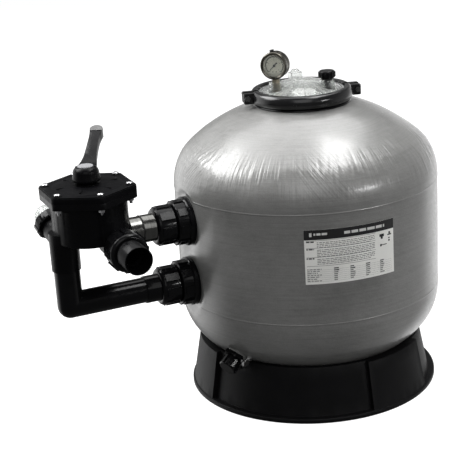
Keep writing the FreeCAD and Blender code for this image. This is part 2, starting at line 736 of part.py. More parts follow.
def port_necks():
    """(outer, bore) pairs of the necks moulded on the pot, about the valve's own axis."""
    side = SIDE_PORT_X - VALVE_X
    sight = SIGHT_X - VALVE_X
    z = PORT_HIGH
    pairs = []
    for way in (SOUTH, NORTH):
        reach = SIDE_NECK_END - 30
        outer = Part.makeCylinder(FIT_R, reach, V(side, way.y * 30, z), way)
        pairs.append((outer, Part.makeCylinder(PIPE_BORE, reach, V(side, way.y * 34, z), way)))
    neck = Part.makeCylinder(FIT_R, 42, V(30, 0, z), EAST)
    bore = Part.makeCylinder(PIPE_BORE, 42, V(34, 0, z), EAST)
    socket = Part.makeCylinder(PIPE_R + 1.5, 40, V(-398 - VALVE_X, 0, z), EAST)
    pairs.append((neck, bore.fuse(socket)))
    down = SOCKET_X - VALVE_X
    leg = Part.makeCylinder(SOCKET_R, SOCKET_TOP - SOCKET_LOW, V(down, 0, SOCKET_LOW))
    hole = Part.makeCylinder(PIPE_R, 42, V(down, 0, SOCKET_LOW))
    hole = hole.fuse(Part.makeCylinder(PIPE_BORE, 66, V(down, 0, SOCKET_LOW)))
    pairs.append((leg, hole))
    bend = SIGHT_BEND - VALVE
    pairs.append([elbow_neck(radius, start, bend) for radius, start in ((SIGHT_R, 28), (SIGHT_BORE, 32))])
    foot = V(sight + 4, 50, SOCKET_LOW)
    spigot = Part.makeCylinder(WASTE_R, z - SOCKET_LOW, foot)
    collar = Part.makeCylinder(WASTE_R + 2.5, z - SOCKET_LOW - WASTE_FREE, foot + V(0, 0, WASTE_FREE))
    pairs.append((spigot.fuse(collar), Part.makeCylinder(WASTE_BORE, z - SOCKET_LOW, foot)))
    return pairs


def valve_body():
    pot = turned((0, POT_LOW), [(POT_R - 6, POT_LOW), ((POT_R - 1.8, POT_LOW + 1.8),
                                                      (POT_R, POT_LOW + 6)),
                                (POT_R, POT_TOP + 3), (0, POT_TOP + 3)])
    flange = rounded_hexagon(POT_TOP, BODY_FLANGE)
    skirt = ring(POT_R + 1.5, 0, POT_TOP - 8, POT_TOP + 1)
    outer = pot.multiFuse([flange, skirt] + [neck for neck, bore in port_necks()])
    hollow = ring(CHAMBER_R, 0, FLOOR, BODY_FLANGE + 1)
    wall = Part.makeBox(CHAMBER_R, 4, SEAT_Z - POT_LOW, V(0, -2, POT_LOW))
    walls = around(wall, 6, 30.0) + [ring(13, 0, POT_LOW, SEAT_Z)]
    inside = walls[0].multiFuse(walls[1:]).common(ring(CHAMBER_R + 1, 0, POT_LOW + 1, SEAT_Z))
    body = outer.cut(hollow).fuse(inside)
    body = body.cut(ring(8, 0, FLOOR, SEAT_Z + 1))
    body = body.cut(ring(O_GROOVE + 2, O_GROOVE - 2, BODY_FLANGE - 3, BODY_FLANGE + 1))
    for neck, bore in port_necks():
        body = body.cut(bore)
    for point in screw_points():
        body = body.cut(moved(ring(3, 0, POT_TOP - 20, BODY_FLANGE + 1), point))
    return moved(body, VALVE)


def valve_cover():
    plate = rounded_hexagon(BODY_FLANGE, COVER_TOP - 2).fuse(rounded_hexagon(COVER_TOP - 2, COVER_TOP, 1.5))
    crown = turned((0, COVER_TOP), [(68, COVER_TOP), ((50, COVER_TOP + 2.2), (34, COVER_TOP + 3)),
                                    (0, COVER_TOP + 3)])
    nose = ring(15, 0, BODY_FLANGE - 6, BODY_FLANGE + 2)
    pocket = ring(CHAMBER_R - 1, 24, BODY_FLANGE - 1, BODY_FLANGE + 6)
    marks = [swung(Part.makeBox(14, 3, 1.2, V(46, -1.5, COVER_TOP + 1.8)), HANDLE_AT + 60 * k)
             for k in range(6)]
    bosses_up = [moved(ring(8.5, 0, COVER_TOP - 4, COVER_TOP + 1), point) for point in screw_points()]
    body = plate.multiFuse([crown, nose] + marks + bosses_up).cut(pocket)
    body = body.cut(ring(COVER_BORE, 0, 440, 500))
    for z in STEM_SEALS:
        body = body.cut(torus(STEM_R + 1.5, 1.5, z))
    for point in screw_points():
        body = body.cut(moved(ring(3, 0, 450, 500), point))
    return moved(body, VALVE)


def valve_o_rings():
    rings = [torus(O_GROOVE, 1.5, BODY_FLANGE - 1.5)]
    rings += [torus(STEM_R + 1.55, SEAL_SLIM, z) for z in STEM_SEALS]
    return [moved(piece, VALVE) for piece in rings]


def cover_screws():
    head = turned((0, COVER_TOP + 1), [(6, COVER_TOP + 1), (6, COVER_TOP + 3),
                                       ((4, COVER_TOP + 4.6), (0, COVER_TOP + 5.2))])
    slots = [swung(Part.makeBox(7, 1.3, 3, V(-3.5, -0.65, COVER_TOP + 3.4)), turn) for turn in (20, 110)]
    screw = head.fuse(ring(3, 0, POT_TOP - 12, COVER_TOP + 1)).cut(slots[0].fuse(slots[1]))
    return [moved(screw, VALVE + point) for point in screw_points()]


def cover_nuts():
    nut = prism(6.4, 6, POT_TOP - 7, POT_TOP).cut(ring(3, 0, 400, 500))
    return [moved(nut, VALVE + point) for point in screw_points()]


def spider_gasket():
    hoop = ring(66, 61, SEAT_Z, SEAT_Z + 2.5)
    spoke = Part.makeBox(52, 5, 2.5, V(11, -2.5, SEAT_Z))
    body = hoop.multiFuse(around(spoke, 6, 30.0) + [ring(14, 9, SEAT_Z, SEAT_Z + 2.5)])
    return moved(body, VALVE)


def rotor():
    """Diverter disc with two pockets in its underside, and the stem up through the cover."""
    disc = ring(64, 0, ROTOR_LOW, ROTOR_TOP)
    stem = ring(STEM_R, 0, ROTOR_TOP - 1, HEAD_TOP)
    inner = ring(58, 16, ROTOR_LOW - 1, ROTOR_LOW + 6)
    for first, span in ((HANDLE_AT - 85, 110), (HANDLE_AT + 95, 50)):
        wedge = turned((16, ROTOR_LOW - 1), [(58, ROTOR_LOW - 1), (58, ROTOR_LOW + 6),
                                             (16, ROTOR_LOW + 6)], span, first)
        disc = disc.cut(inner.common(wedge))
    pin = aimed(ring(PIN_R, 0, -40, 40), V(0, 0, PIN_Z), polar(1, HANDLE_AT + 90))
    return moved(disc.fuse(stem).cut(pin), VALVE)


def spring_seat_washer():
    return moved(ring(SPRING_R + 3, STEM_R + 0.5, ROTOR_TOP, SPRING_LOW), VALVE)


def thrust_washer():
    return moved(ring(SPRING_R + 3, STEM_R + 0.5, SPRING_HIGH, BODY_FLANGE - 6), VALVE)


def rotor_spring():
    low = SPRING_LOW + SPRING_WIRE + 0.1
    high = SPRING_HIGH - SPRING_WIRE - 0.1
    coil = Part.makeHelix((high - low) / 2.5, high - low, SPRING_R)
    coil.translate(V(0, 0, low))
    wire = Part.Wire(coil.Edges)
    start = wire.Edges[0].valueAt(wire.Edges[0].FirstParameter)
    tangent = wire.Edges[0].tangentAt(wire.Edges[0].FirstParameter)
    section = Part.Wire(Part.Circle(start, tangent, SPRING_WIRE).toShape())
    return moved(wire.makePipeShell([section], True, True), VALVE)


# ---- handle ----


def handle_place(shape):
    return moved(swung(shape, HANDLE_AT), VALVE)


def handle_form():
    """Lever seen from above cut by the same lever seen from the side, along +X from the hub."""
    def plan(half_base, half_neck, half_tip):
        pts = [V(0, half_base, 480), V(22, half_base - 3, 480), V(44, half_neck + 2, 480),
               V(70, half_neck, 480), V(100, half_neck, 480), V(118, half_tip, 480)]
        side = Part.BSplineCurve()
        side.interpolate(pts)
        tip = HANDLE_REACH
        back = Part.BSplineCurve()
        back.interpolate([V(p.x, -p.y, p.z) for p in reversed(pts)])
        nose = Part.Arc(pts[-1], V(tip, 0, 480), V(118, -half_tip, 480)).toShape()
        base = Part.makeLine(V(0, -half_base, 480), V(0, half_base, 480))
        return Part.Face(Part.Wire([side.toShape(), nose, back.toShape(), base])).extrude(V(0, 0, 120))

    top = Part.BSplineCurve()
    top.interpolate([V(0, -60, HUB_TOP), V(24, -60, HUB_TOP - 1), V(60, -60, 541), V(100, -60, 560),
                     V(128, -60, 572)])
    low = Part.BSplineCurve()
    low.interpolate([V(128, -60, 552), V(100, -60, 543), V(60, -60, 524), V(34, -60, 506),
                     V(24, -60, HUB_LOW + 5)])
    wire = Part.Wire([top.toShape(), Part.makeLine(V(128, -60, 572), V(128, -60, 552)), low.toShape(),
                      Part.makeLine(V(24, -60, HUB_LOW + 5), V(0, -60, HUB_LOW + 5)),
                      Part.makeLine(V(0, -60, HUB_LOW + 5), V(0, -60, HUB_TOP))])
    side = Part.Face(wire).extrude(V(0, 120, 0))
    return plan(20, 10.5, 13).common(side)


def handle_hub():
    low, top = HUB_LOW, HUB_TOP
    return turned((0, low), [(HEEL_R, low), (HUB_R_OUT - 1, low + 4), (HUB_R_OUT, low + 6),
                             (HUB_R_OUT - 2, 512),
                             ((HUB_R_OUT - 6, top - 3), (HUB_R_OUT - 11, top)), (0, top)])


def handle():
    body = handle_hub().fuse(handle_form())
    body = body.cut(Part.makeBox(60, 80, 120, V(TIP_FROM, -40, 480)))
    slot = Part.makeBox(36, 2 * STEM_R + 0.8, HEAD_TOP + 2.5 - 480, V(-18, -STEM_R - 0.4, 480))
    pin = aimed(ring(PIN_R + PIN_GAP, 0, -40, 40), V(0, 0, PIN_Z), NORTH)
    return handle_place(body.cut(slot).cut(pin))


def handle_tip():
    return handle_place(handle_form().common(Part.makeBox(60, 80, 120, V(TIP_FROM, -40, 480))))


def handle_cap():
    return handle_place(turned((0, HUB_TOP), [(CAP_R, HUB_TOP), (CAP_R - 0.6, HUB_TOP + 1.4),
                                              (0, HUB_TOP + 1.4)]))


def handle_pin():
    return handle_place(aimed(ring(PIN_R, 0, -24.6, 24.6), V(0, 0, PIN_Z), NORTH))


def handle_washer():
    return moved(ring(HUB_R_OUT - 2, STEM_R + 0.4, COVER_TOP + 3.3, WASHER_TOP), VALVE)


# ---- sight glass ----


def sight_piece(shape):
    return aimed(shape, SIGHT_BEND + SIGHT_WAY * SIGHT_RISE, SIGHT_WAY)


def sight_glass_dome():
    nose = V(0, 0, DOME_STRAIGHT)
    inner = DOME_R - DOME_WALL
    shell = ring(SIGHT_R - 0.3, 0, 0, 3).fuse(ring(DOME_R, 0, 0, DOME_STRAIGHT))
    shell = shell.fuse(Part.makeSphere(DOME_R, nose))
    shell = shell.cut(ring(inner, 0, 0, DOME_STRAIGHT).fuse(Part.makeSphere(inner, nose)))
    return sight_piece(shell.cut(ring(SIGHT_SEAL + 1.6, SIGHT_SEAL - 1.6, -1, 1.6)))


def sight_glass_o_ring():
    return sight_piece(torus(SIGHT_SEAL, 0.8, 0.8))


def sight_glass_ring():
    bore = SIGHT_R + RUN_GAP
    lip = DOME_R + RUN_GAP
    body = turned((bore, -12), [(SIGHT_NUT_R, -12), (SIGHT_NUT_R, 7), (SIGHT_NUT_R - 2, 9), (lip, 9),
                                (lip, 3 + RUN_GAP), (bore, 3 + RUN_GAP)])
    body = body.multiFuse(lugs(SIGHT_NUT_R, 1.8, 8, -10, 6, 10))
    return sight_piece(body.cut(ring(bore, 0, -20, 3 + RUN_GAP)))


# ---- write every node ----

def placed(shape, spots):
    return [aimed(shape, at, way) for at, way in spots]


def main():
    export("tank_shell", tank_shell())
    export("base_skirt", base_skirt())
    export("label", label())
    export("neck_flange", neck_flange())
    export("lid", lid())
    export("lid_o_ring", lid_o_ring())
    export("clamp_half_front", clamp_half(-1))
    export("clamp_half_rear", clamp_half(1))
    export("clamp_bolts", *clamp_bolts())
    export("clamp_nuts", *clamp_nuts())
    export("gauge_case", gauge_case())
    export("gauge_bezel", gauge_bezel())
    export("gauge_lens", gauge_lens())
    export("gauge_dial", gauge_dial())
    export("gauge_pointer", gauge_pointer())
    export("gauge_stem", gauge_stem())
    export("gauge_fill_plug", gauge_fill_plug())
    export("air_release_knob", air_release_knob())
    export("air_release_seal", air_release_seal())
    export("bulkhead_fittings", *placed(fitting(), port_axes()))
    export("bulkhead_gaskets", *placed(gasket(), port_axes()))
    export("bulkhead_lock_nuts", *placed(lock_nut(), port_axes()))
    upper, lower = tank_unions()
    pump, back = valve_unions()
    for name, spot in (("upper", upper), ("lower", lower), ("pump", pump), ("return", back)):
        export(name + "_union_nut", aimed(union_nut(), *spot))
    export("upper_union_tail", aimed(union_tail(STUB_RING - FIT_END), *upper))
    export("lower_union_tail", aimed(union_tail(TAIL_END - FIT_END), *lower))
    export("valve_union_tails", *placed(union_tail(SIDE_TAIL_END - SIDE_NECK_END), [pump, back]))
    export("union_o_rings", *placed(union_seal(), tank_unions() + valve_unions()))
    export("upper_stub_pipe", upper_stub_pipe())
    export("stub_joint_ring", stub_joint_ring())
    export("lower_elbow_pipe", lower_elbow_pipe())
    export("inlet_pipe", inlet_pipe())
    export("outlet_pipe", outlet_pipe())
    export("diffuser", diffuser())
    export("lateral_hub", lateral_hub())
    export("laterals", *laterals())
    export("air_bleed_tube", air_bleed_tube())
    export("drain_fitting", drain_fitting())
    export("drain_gasket", drain_gasket())
    export("drain_cap", drain_cap())
    export("valve_body", valve_body())
    export("valve_cover", valve_cover())
    export("valve_o_rings", *valve_o_rings())
    export("cover_screws", *cover_screws())
    export("cover_nuts", *cover_nuts())
    export("spider_gasket", spider_gasket())
    export("rotor", rotor())
    export("rotor_spring", rotor_spring())
    export("spring_seat_washer", spring_seat_washer())
    export("thrust_washer", thrust_washer())
    export("handle", handle())
    export("handle_tip", handle_tip())
    export("handle_cap", handle_cap())
    export("handle_pin", handle_pin())
    export("handle_washer", handle_washer())
    export("sight_glass_dome", sight_glass_dome())
    export("sight_glass_o_ring", sight_glass_o_ring())
    export("sight_glass_ring", sight_glass_ring())


main()
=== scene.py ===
import json
import math
import random

import bpy
import numpy as np
from mathutils import Matrix, Quaternion, Vector


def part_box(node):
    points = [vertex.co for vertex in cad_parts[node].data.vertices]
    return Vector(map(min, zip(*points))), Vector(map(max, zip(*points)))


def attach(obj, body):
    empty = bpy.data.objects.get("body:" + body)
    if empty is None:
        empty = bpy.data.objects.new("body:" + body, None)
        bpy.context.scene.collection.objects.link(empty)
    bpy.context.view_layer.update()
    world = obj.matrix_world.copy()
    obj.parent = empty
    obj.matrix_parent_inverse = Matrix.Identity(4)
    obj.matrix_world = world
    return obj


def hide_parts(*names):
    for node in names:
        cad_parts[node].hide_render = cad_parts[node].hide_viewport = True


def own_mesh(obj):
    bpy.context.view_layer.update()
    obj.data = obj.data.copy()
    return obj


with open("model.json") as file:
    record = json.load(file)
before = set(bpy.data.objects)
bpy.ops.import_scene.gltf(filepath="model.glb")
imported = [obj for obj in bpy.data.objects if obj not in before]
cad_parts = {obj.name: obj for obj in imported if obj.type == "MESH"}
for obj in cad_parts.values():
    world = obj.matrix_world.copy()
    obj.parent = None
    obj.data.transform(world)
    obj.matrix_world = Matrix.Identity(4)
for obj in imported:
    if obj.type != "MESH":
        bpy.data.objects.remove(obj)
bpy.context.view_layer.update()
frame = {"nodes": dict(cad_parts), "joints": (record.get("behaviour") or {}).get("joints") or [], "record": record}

NODES = frame["nodes"]
MM = 0.001

# ---- the tank's form, metres; radii and seams as in the frame ----
TANK_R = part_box("tank_shell")[1].x
TANK_WALL = 7 * MM
SEAM_LOW = 206.5 * MM
SEAM_HIGH = 434.3 * MM
TOP_CROWN = 353 * MM
TOP_KNUCKLE = 100 * MM
BOTTOM_CROWN = 340 * MM
BOTTOM_KNUCKLE = 125 * MM
NECK_HOLE_R = 88 * MM

# ---- its mesh: columns round, and rows for each head, knuckle and the cylinder ----
COLUMNS = 720
OUTER_ROWS = (8, 13, 22, 38, 21)
INNER_ROWS = (4, 5, 3, 5, 5)

# ---- the winding's two raised edges, with extra rows across each ----
TAPES = (SEAM_LOW + 5 * MM, SEAM_HIGH - 5 * MM)
TAPE_HEIGHT = 0.7 * MM
TAPE_WIDTH = 0.9 * MM
TAPE_STEPS = (-4.0, -2.4, -1.2, -0.4, 0.4, 1.2, 2.4)

# ---- its creases: pleats all round the shoulder, and fans of slanting ones ----
WAVES = 14
PLEATS = 300
PLEAT_RISE = 74 * MM
FANS = 5
FAN_AT = math.radians(-106)     # the turn round the tank of the fan at the front
FAN_STEP = 2 * math.pi / FANS
FAN_LEAN = math.radians(36)
FAN_RISE = 74 * MM
FAN_PITCH = 9 * MM

# ---- the two port pads and the label ----
PORT_Z = [sum(c.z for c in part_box(name)) / 2 for name in ("upper_union_nut", "lower_union_nut")]
PORT_FLAT_R = 51 * MM
PORT_BLEND_R = 66 * MM
PAD_FACE = TANK_R - 5.5 * MM
LABEL_LOW, LABEL_HIGH = (corner.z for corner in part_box("label"))
LABEL_MARGIN = 14 * MM

# ---- the selector's return spring ----
SPRING_WIRE = 1.2 * MM
SPRING_TURNS = 2.5
SPRING_STEPS = 120
SPRING_SIDES = 16

# ---- the gauge's dial, millimetres and degrees ----
DIAL_FIRST, DIAL_SPAN = 226.0, -272.0
DIAL_RING = (17.2, 18.6)
DIAL_TICKS = 40
DIAL_TICK_OUT = 17.4
DIAL_NUMBER_R = 11.6
DIAL_NUMBER_SIZE = 4.6

# ---- camera ----
CAMERA_AT = Vector((-1.1174, -2.2823, 1.1604))
CAMERA_LOOK = Vector((0.36758, 0.87360, -0.31893))
CAMERA_ROLL = -0.0603
CAMERA_LENS = 99.02

# ---- light: panels are azimuth, elevation, inner and outer half-width, strength ----
ROOM_LIGHT = 0.16
PANELS = ((42, -20, 14, 40, 0.9), (124, -2, 12, 48, 1.6), (0, -18, 16, 60, 0.4))
# name, place, aim, size, watts
LIGHTS = (
    ("top_softbox", (0.2, 0.7, 2.9), (0.0, 0.1, 0.4), (3.2, 2.4), 76),
    ("left_softbox", (-1.4, 0.85, 1.95), (-0.2, -0.1, 0.5), (1.3, 1.0), 50),
    ("right_softbox", (0.5, -0.45, 2.5), (0.0, -0.2, 0.5), (1.4, 0.6), 29),
    ("front_fill", (-1.3, -3.0, 2.6), (0.0, 0.0, 0.3), (2.5, 2.5), 31),
    ("front_strip", (1.15, -2.5, 1.2), (0.0, -0.26, 0.46), (0.8, 0.06), 15),
)
FLOOR_HALF = 14.0
FLOOR_GLOW = 0.9
SHADE_R = 0.236


# ---- materials ----

def new_material(name):
    material = bpy.data.materials.new("look_" + name)
    material.use_nodes = True
    tree = material.node_tree
    tree.nodes.clear()
    out = tree.nodes.new("ShaderNodeOutputMaterial")
    shader = tree.nodes.new("ShaderNodeBsdfPrincipled")
    tree.links.new(shader.outputs["BSDF"], out.inputs["Surface"])
    return material, tree, shader


def clouds(tree, scale, detail=3.0, stretch=(1, 1, 1), tilt=(0, 0, 0), attribute=None):
    """Noise over the object's own coordinates, or over a vector stored on its mesh."""
    if attribute:
        source = tree.nodes.new("ShaderNodeAttribute")
        source.attribute_name = attribute
        vector = source.outputs["Vector"]
    else:
        vector = tree.nodes.new("ShaderNodeTexCoord").outputs["Object"]
    for socket, value in (("Rotation", tilt), ("Scale", stretch)):
        mapping = tree.nodes.new("ShaderNodeMapping")
        mapping.inputs[socket].default_value = value
        tree.links.new(vector, mapping.inputs["Vector"])
        vector = mapping.outputs["Vector"]
    noise = tree.nodes.new("ShaderNodeTexNoise")
    noise.inputs["Scale"].default_value = scale
    noise.inputs["Detail"].default_value = detail
    tree.links.new(vector, noise.inputs["Vector"])
    return noise.outputs["Fac"]


def remap(tree, value, low, high, span=(0.3, 0.7)):
    node = tree.nodes.new("ShaderNodeMapRange")
    node.inputs["From Min"].default_value = span[0]
    node.inputs["From Max"].default_value = span[1]
    node.inputs["To Min"].default_value = low
    node.inputs["To Max"].default_value = high
    tree.links.new(value, node.inputs["Value"])
    return node.outputs["Result"]


def two_tone(tree, value, dark, light, span=(0.32, 0.68)):
    ramp = tree.nodes.new("ShaderNodeValToRGB")
    for stop, place, colour in zip(ramp.color_ramp.elements, span, (dark, light)):
        stop.position = place
        stop.color = (*colour, 1)
    tree.links.new(value, ramp.inputs["Fac"])
    return ramp.outputs["Color"]


def bump(tree, shader, heights):
    """Chain bumps, each a (height value, depth in metres, strength)."""
    normal = None
    for height, depth, strength in heights:
        node = tree.nodes.new("ShaderNodeBump")
        node.inputs["Strength"].default_value = strength
        node.inputs["Distance"].default_value = depth
        tree.links.new(height, node.inputs["Height"])
        if normal is not None:
            tree.links.new(normal, node.inputs["Normal"])
        normal = node.outputs["Normal"]
    tree.links.new(normal, shader.inputs["Normal"])


def shade(colour, factor):
    return tuple(min(1.0, c * factor) for c in colour)


def moulded(name, colour, rough, coat=0.0, grain=700.0, depth=0.00005, stretch=(1, 1, 1), vary=0.2,
            gloss_level=0.3):
    """Moulded plastic or rubber: slightly clouded colour, uneven gloss and a fine grain."""
    material, tree, shader = new_material(name)
    tone = clouds(tree, 22.0, 4.0)
    tree.links.new(two_tone(tree, tone, shade(colour, 1 - vary), shade(colour, 1 + vary)),
                   shader.inputs["Base Color"])
    gloss = clouds(tree, 90.0, 3.0, stretch)
    tree.links.new(remap(tree, gloss, rough * 0.8, rough * 1.25), shader.inputs["Roughness"])
    shader.inputs["Specular IOR Level"].default_value = gloss_level
    shader.inputs["Coat Weight"].default_value = coat
    shader.inputs["Coat Roughness"].default_value = 0.12
    bump(tree, shader, [(clouds(tree, grain, 2.0, stretch), depth, 0.6)])
    return material


def metal(name, colour, rough, stretch=(1, 1, 1), grain=500.0):
    """Metal with a brushed or rolled grain along the stretch."""
    material, tree, shader = new_material(name)
    shader.inputs["Metallic"].default_value = 1.0
    tone = clouds(tree, 60.0, 3.0, stretch)
    tree.links.new(two_tone(tree, tone, shade(colour, 0.82), shade(colour, 1.1)),
                   shader.inputs["Base Color"])
    brushed = clouds(tree, grain, 2.0, stretch)
    tree.links.new(remap(tree, brushed, rough * 0.7, rough * 1.4), shader.inputs["Roughness"])
    bump(tree, shader, [(brushed, 0.00004, 0.5)])
    return material


def blend(tree, first, second, share):
    """first and second mixed, share of the second."""
    mix = tree.nodes.new("ShaderNodeMix")
    mix.data_type = "FLOAT"
    mix.inputs["Factor"].default_value = share
    tree.links.new(first, mix.inputs["A"])
    tree.links.new(second, mix.inputs["B"])
    return mix.outputs["Result"]


def product(tree, value, attribute):
    """value times a mask stored on the mesh."""
    zone = tree.nodes.new("ShaderNodeAttribute")
    zone.attribute_name = attribute
    times = tree.nodes.new("ShaderNodeMath")
    times.operation = "MULTIPLY"
    tree.links.new(value, times.inputs[0])
    tree.links.new(zone.outputs["Fac"], times.inputs[1])
    return times.outputs["Value"]


def tank_skin():
    """Grey wound glass fibre under clear gloss: level strands, clouded tone, pleats and fans."""
    material, tree, shader = new_material("tank_skin")
    shader.inputs["Metallic"].default_value = 0.15
    shader.inputs["Coat Weight"].default_value = 0.6
    shader.inputs["Coat Roughness"].default_value = 0.2
    level = clouds(tree, 1.0, 3.0, (5, 5, 380), (0.0, 0.0, 0.0), "wrap")
    grain = clouds(tree, 520.0, 2.0)
    cross = clouds(tree, 1.0, 3.0, (60, 60, 190), (math.radians(24), math.radians(-18), 0.0))
    blotch = clouds(tree, 8.0, 5.0)
    tone = blend(tree, blotch, blend(tree, blend(tree, level, cross, 0.45), grain, 0.4), 0.6)
    colour = two_tone(tree, tone, (0.135, 0.135, 0.131), (0.235, 0.235, 0.229), (0.36, 0.64))
    tree.links.new(colour, shader.inputs["Base Color"])
    tree.links.new(remap(tree, cross, 0.3, 0.46), shader.inputs["Roughness"])
    pleats = clouds(tree, 1.0, 2.0, (170, 170, 8), (0.0, 0.0, 0.0), "wrap")
    fans = clouds(tree, 1.0, 1.0, (175, 9, 1), (0.0, 0.0, 0.0), "slant")
    bump(tree, shader, [(product(tree, level, "wound"), 0.00022, 0.5), (grain, 0.00012, 0.5),
                        (cross, 0.0002, 0.35), (product(tree, pleats, "crinkle"), 0.004, 0.6),
                        (product(tree, fans, "fan"), 0.0045, 0.6)])
    return material


def clear_plastic():
    """Clear moulded plastic: it bends light, and a share of the light goes straight through."""
    material, tree, shader = new_material("clear_plastic")
    through = tree.nodes.new("ShaderNodeBsdfTransparent")
    through.inputs["Color"].default_value = (0.86, 0.87, 0.86, 1)
    mixed = tree.nodes.new("ShaderNodeMixShader")
    edge = tree.nodes.new("ShaderNodeLayerWeight")
    edge.inputs["Blend"].default_value = 0.3
    tree.links.new(remap(tree, edge.outputs["Facing"], 0.35, 1.0, (0.0, 0.8)), mixed.inputs["Fac"])
    tree.links.new(through.outputs["BSDF"], mixed.inputs[1])
    tree.links.new(shader.outputs["BSDF"], mixed.inputs[2])
    out = next(n for n in tree.nodes if n.type == "OUTPUT_MATERIAL")
    tree.links.new(mixed.outputs["Shader"], out.inputs["Surface"])
    tone = clouds(tree, 40.0, 3.0)
    tree.links.new(two_tone(tree, tone, (0.82, 0.84, 0.83), (0.95, 0.96, 0.95)),
                   shader.inputs["Base Color"])
    tree.links.new(remap(tree, clouds(tree, 120.0), 0.02, 0.08), shader.inputs["Roughness"])
    shader.inputs["Transmission Weight"].default_value = 0.85
    shader.inputs["IOR"].default_value = 1.45
    bump(tree, shader, [(clouds(tree, 90.0, 2.0), 0.0003, 0.4)])
    return material


def printed(name, colour, rough):
    """A printed film or painted sheet: faint mottling and a soft film gloss."""
    return moulded(name, colour, rough, coat=0.35, grain=900.0, depth=0.00002, vary=0.05)


MATERIALS = {
    "tank_skin": tank_skin(),
    "base_plastic": moulded("base_plastic", (0.004, 0.004, 0.0045), 0.5, gloss_level=0.12,
                            grain=1.0, depth=0.0003, stretch=(420, 420, 14)),
    "black_plastic": moulded("black_plastic", (0.0035, 0.0035, 0.004), 0.17, gloss_level=0.14),
    "satin_black": moulded("satin_black", (0.003, 0.003, 0.0035), 0.3, gloss_level=0.08),
    "matt_black": moulded("matt_black", (0.003, 0.003, 0.0035), 0.4, gloss_level=0.04),
    "clamp_plastic": moulded("clamp_plastic", (0.006, 0.006, 0.0065), 0.22, coat=0.2),
    "clear_plastic": clear_plastic(),
    "seal_rubber": moulded("seal_rubber", (0.015, 0.015, 0.015), 0.6),
    "stainless": metal("stainless", (0.42, 0.42, 0.43), 0.24),
    "dark_steel": metal("dark_steel", (0.12, 0.12, 0.12), 0.3),
    "bright_pipe": metal("bright_pipe", (0.13, 0.13, 0.124), 0.18, stretch=(6, 0.4, 0.4)),
    "label_sheet": printed("label_sheet", (0.84, 0.84, 0.81), 0.4),
    "dial_face": printed("dial_face", (0.8, 0.77, 0.66), 0.35),
    "gauge_steel": metal("gauge_steel", (0.1, 0.095, 0.08), 0.22),
    "brass": metal("brass", (0.3, 0.27, 0.2), 0.35),
    "pointer_black": moulded("pointer_black", (0.01, 0.01, 0.01), 0.4),
    "tip_grey": moulded("tip_grey", (0.09, 0.09, 0.09), 0.38, coat=0.2),
    "cap_silver": moulded("cap_silver", (0.3, 0.3, 0.31), 0.22, coat=0.5, vary=0.05),
    "inner_plastic": moulded("inner_plastic", (0.6, 0.6, 0.58), 0.45, vary=0.08),
}
INK = printed("ink", (0.012, 0.012, 0.013), 0.35)
GREY_INK = printed("grey_ink", (0.2, 0.2, 0.195), 0.4)
PALE_INK = printed("pale_ink", (0.62, 0.62, 0.61), 0.4)

# nodes whose look differs from their record slot's
LOOKS = {
    "valve_cover": "matt_black", "valve_body": "satin_black", "handle": "satin_black",
    "valve_union_tails": "satin_black", "handle_washer": "black_plastic",
    "clamp_bolts": "dark_steel", "clamp_nuts": "dark_steel",
}


def paint_frame():
    slots = {part["node"]: part["material_slot"] for part in frame["record"]["subparts"]}
    for name, node in NODES.items():
        node.data.materials.clear()
        node.data.materials.append(MATERIALS[LOOKS.get(name, slots[name])])


# ---- meshes ----

def add_mesh(name, points, faces, material, body, smooth=True):
    mesh = bpy.data.meshes.new(name)
    mesh.from_pydata(points, [], faces)
    mesh.materials.append(material)
    for face in mesh.polygons:
        face.use_smooth = smooth
    obj = bpy.data.objects.new(name, mesh)
    bpy.context.scene.collection.objects.link(obj)
    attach(obj, body)
    return obj


def head_arcs(seam, crown, knuckle, way, shrink):
    """The two arcs of a dished head, as (centre r, centre z, radius, first angle, last angle)."""
    side = TANK_R - knuckle
    depth = math.sqrt((crown - knuckle) ** 2 - side ** 2)
    bend = math.pi / 2 - math.atan2(side, depth)
    return ((side, seam, knuckle - shrink, 0.0, way * bend),
            (0.0, seam - way * depth, crown - shrink, way * bend, way * math.pi / 2))


def arc_rows(arc, first, last, count):
    r, z, radius = arc[:3]
    return [(r + radius * math.cos(a), z + radius * math.sin(a), math.cos(a), math.sin(a))
            for a in np.linspace(first, last, count)]


def wall_rows(shrink, counts):
    """Rows (r, z, normal r, normal z) from the bottom pole up to the neck hole."""
    low_knuckle, low_crown = head_arcs(SEAM_LOW, BOTTOM_CROWN, BOTTOM_KNUCKLE, -1, shrink)
    top_knuckle, top_crown = head_arcs(SEAM_HIGH, TOP_CROWN, TOP_KNUCKLE, 1, shrink)
    neck = math.acos(NECK_HOLE_R / top_crown[2])
    rows = arc_rows(low_crown, low_crown[4], low_crown[3], counts[0])[1:-1]
    rows += arc_rows(low_knuckle, low_knuckle[4], low_knuckle[3], counts[1])
    level = set(np.linspace(SEAM_LOW, SEAM_HIGH, counts[2])[1:-1])
    if shrink == 0:
        level |= {tape + step * MM for tape in TAPES for step in TAPE_STEPS}
    rows += [(TANK_R - shrink, z, 1.0, 0.0) for z in sorted(level)]
    rows += arc_rows(top_knuckle, top_knuckle[3], top_knuckle[4], counts[3])
    rows += arc_rows(top_crown, top_crown[3], neck, counts[4])[1:]
    pole = (low_crown[0], low_crown[1] - low_crown[2])
    return np.array(rows), pole


def smooth_step(value, low, high):
    t = np.clip((value - low) / (high - low), 0, 1)
    return t * t * (3 - 2 * t)


